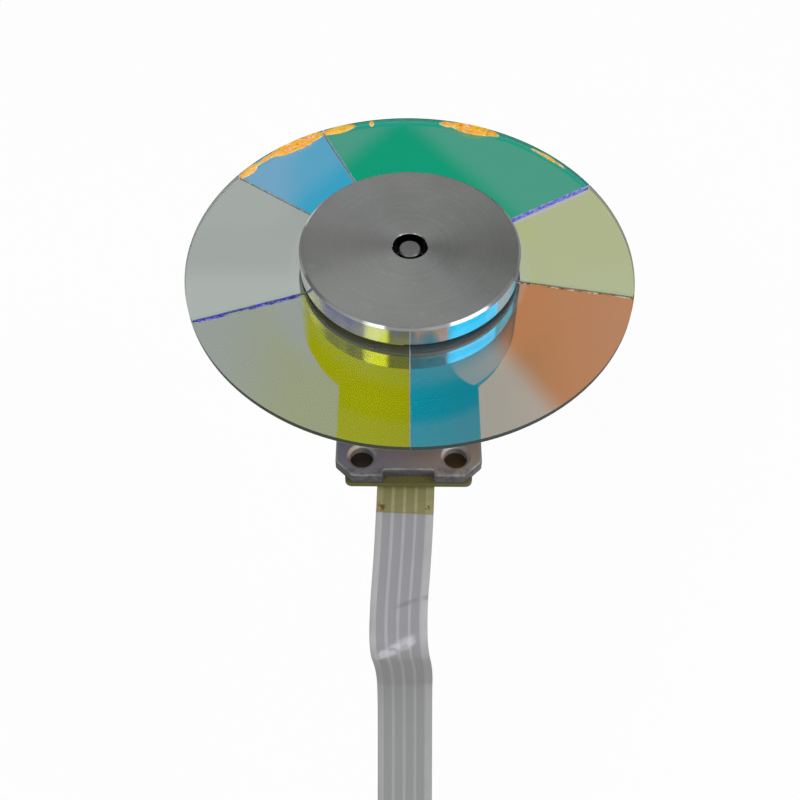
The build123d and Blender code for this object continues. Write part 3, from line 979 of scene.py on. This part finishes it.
dress(["mounting_bracket"], bracket_steel())
dress(["circuit_board"], board_resin())
dress(["bearing_housing"], turned_metal("housing brass", (0.78, 0.56, 0.24, 1), 0.3, 0.5, 0.1))
dress(["sleeve_bearing"], plain_metal("bearing bronze", (0.45, 0.27, 0.13, 1), 0.5, 0.08, 0.6))
dress(["bottom_cover"], plain_metal("cover steel", (0.5, 0.5, 0.51, 1), 0.35))
dress(["thrust_pad"], moulded("thrust plastic", colour(70, 52, 34), 0.45))
dress(["stator_core"], turned_metal("lamination steel", (0.34, 0.34, 0.37, 1), 0.45, 0.2, 0.35))
dress([f"coil_{number}" for number in range(1, 10)] + ["winding_leads"], wound_copper())
dress(["lead_solder", "cable_solder"], plain_metal("solder", (0.68, 0.68, 0.7, 1), 0.28, 0.4, 0.2))
dress(["shaft"], plain_metal("ground steel", grey(0.3), 0.3, 0.1, 0.2))
dress(["retaining_washer"], moulded("washer plastic", colour(200, 196, 184), 0.5))
dress(["rotor_cup"], turned_metal("cup steel", (0.64, 0.62, 0.57, 1), 0.12, 0.4, 0.12))
dress(["magnet_ring"], moulded("magnet", colour(38, 38, 40), 0.6, 0.15, 0.01))
hub_metal = turned_metal("turned aluminium", (0.6, 0.61, 0.6, 1), 0.42, 0.5, 0.06, HUB_SHADE_Z)
dress(["rotor_hub"], hub_metal)
dress(["hub_cap"], cap_aluminium())
dress(["glue_fillet"], moulded("clear glue", colour(176, 172, 96), 0.2, 0.5, 0.02))
for filter_name, look in FILTERS.items():
    dress([filter_name], filter_glass(filter_name.replace("_", " ") + " glass", **look))


# Room: a plain pale floor, soft light from above and two windows at the sides. What the coating,
# the cap and the motor mirror is laid out in zones, as it is in the photograph.


def room_light():
    """The room above the floor. Each patch of it is a range of slopes, to the side and in depth."""
    world = bpy.data.worlds.new("room")
    bpy.context.scene.world = world
    world.use_nodes = True
    room = Finish(world.node_tree, "ShaderNodeOutputWorld")
    x, y, z = room.parts(room.node("ShaderNodeTexCoord", output="Generated"))
    rise = z.most(0.02)
    side, depth = x / rise, y / rise

    ceiling = (side * 0.847 + depth * 0.531).below(0.52, 0.56)
    ceiling = ceiling * depth.within(-0.3, -0.2, 0.92, 0.97) * side.above(-0.95, -0.6)
    ceiling = ceiling * (0.78 - 0.2 * side.above(-0.04, 0.1))
    right_window = side.within(0.53, 0.57, 1.1, 1.2) * depth.within(-0.66, -0.62, 0.25, 0.3)
    left_window = side.within(-0.66, -0.62, -0.34, -0.3) * depth.within(-0.9, -0.85, -0.5, -0.45)
    left_wall = side.within(-1.4, -1.2, -0.7, -0.6) * abs(depth).below(0.6, 0.8)
    left_wall = left_wall * (0.2 + 0.4 * depth.above(0.1, 0.35))
    right_wall = side.within(0.4, 0.5, 1.3, 1.5) * depth.within(0.27, 0.32, 0.75, 0.85) * 0.85

    gap = (abs(side) - (1.24 - depth) * 0.75).below(-0.02, 0.03) * depth.above(0.98, 1.06)
    dim = 0.2 - 0.18 * gap + 0.25 * depth.below(-0.5, -0.3)
    dim = dim + 0.12 * side.above(0.1, 0.3) * depth.below(0.9, 1.0)
    dim = dim + 0.2 * side.below(-0.17, -0.12) * depth.above(1.0, 1.05)

    light = dim + ceiling + right_window * 2.1 + left_window * 1.75 + left_wall + right_wall
    calm = 0.4 - 0.12 * y + 0.06 * x
    light = light + (calm - light) * z.below(0.15, 0.4)
    camera_ray = room.node("ShaderNodeLightPath", output="Is Camera Ray")
    seen = room.node("ShaderNodeBackground", {}, {"Color": grey(1.0), "Strength": 1.0})
    daylight = room.blend(right_window, grey(1.0), (0.9, 0.92, 1.15, 1))
    lit = room.node("ShaderNodeBackground", {}, {"Color": daylight, "Strength": light})
    room.show(room.mixed(camera_ray, lit, seen))


def mirrored_floor(x, y):
    """The floor's brightness in mirrors: the motor shows its near part, and the cap its far part."""
    radius = away(x, y)
    left = (x - y).below(-2, 3)
    middle = x.above(-24, -21)
    right = (x + y).above(-12, -8)
    far = 1.1 - 0.15 * left - 0.2 * middle - 0.1 * x.above(-2, 1)
    far_right = 0.75 * y.above(9, 12) + 0.2 * y.within(-16, -2, 9, 12)
    far = far * (1 - right) + right * far_right
    between = middle * (1 - right) * 0.8
    under_motor = (x + y).above(-11, 3)
    near = 0.18 * (1 - middle) * (1 - left) + middle * (0.07 + 0.88 * under_motor)
    glow = near + (between - near) * radius.above(58.5, 61.0)
    glow = glow + (far - glow) * radius.above(62.5, 63.5)
    beyond = 0.6 - 0.5 * x * y / (radius * radius)
    return beyond + (glow - beyond) * radius.below(70, 90) * y.below(30, 50)


def floor():
    """White to the camera, pale to the light, zoned in mirrors, and clear from below."""
    material, finish = new_finish("floor")
    card, white, black = finish.matt(grey(0.85)), finish.glowing(grey(1.0)), finish.glowing(grey(0.0))
    camera_ray = finish.node("ShaderNodeLightPath", output="Is Camera Ray")
    glossy_ray = finish.node("ShaderNodeLightPath", output="Is Glossy Ray")
    x, y, _ = finish.place()
    mirrored = finish.mixed(mirrored_floor(x, y), black, white)
    top = finish.mixed(camera_ray * 0.92, finish.mixed(glossy_ray, card, mirrored), white)
    from_below = finish.node("ShaderNodeNewGeometry", output="Backfacing")
    finish.show(finish.mixed(from_below, top, finish.see_through(grey(1.0))))
    corners = [
        (side * FLOOR_HALF, depth * FLOOR_HALF, FLOOR_Z)
        for side, depth in ((-1, -1), (1, -1), (1, 1), (-1, 1))
    ]
    piece = new_piece("floor", corners, [(0, 1, 2, 3)], material, smooth=False)


def lamp(name, place, size, power):
    """A soft square lamp that faces the part. Gloss doesn't show it."""
    light = bpy.data.lights.new(name, "AREA")
    light.size = size
    light.energy = power
    holder = bpy.data.objects.new(name, light)
    holder.location = place
    aim = Vector(place) - Vector((0, AXIS_Y, 0))
    holder.rotation_euler = aim.to_track_quat("Z", "Y").to_euler()
    holder.visible_glossy = False
    bpy.context.scene.collection.objects.link(holder)


room_light()
floor()
lamp("front lamp", (-0.25, -0.35, 0.5), 0.35, 1.4)
lamp("side lamp", (0.45, -0.1, 0.4), 0.3, 0.8)
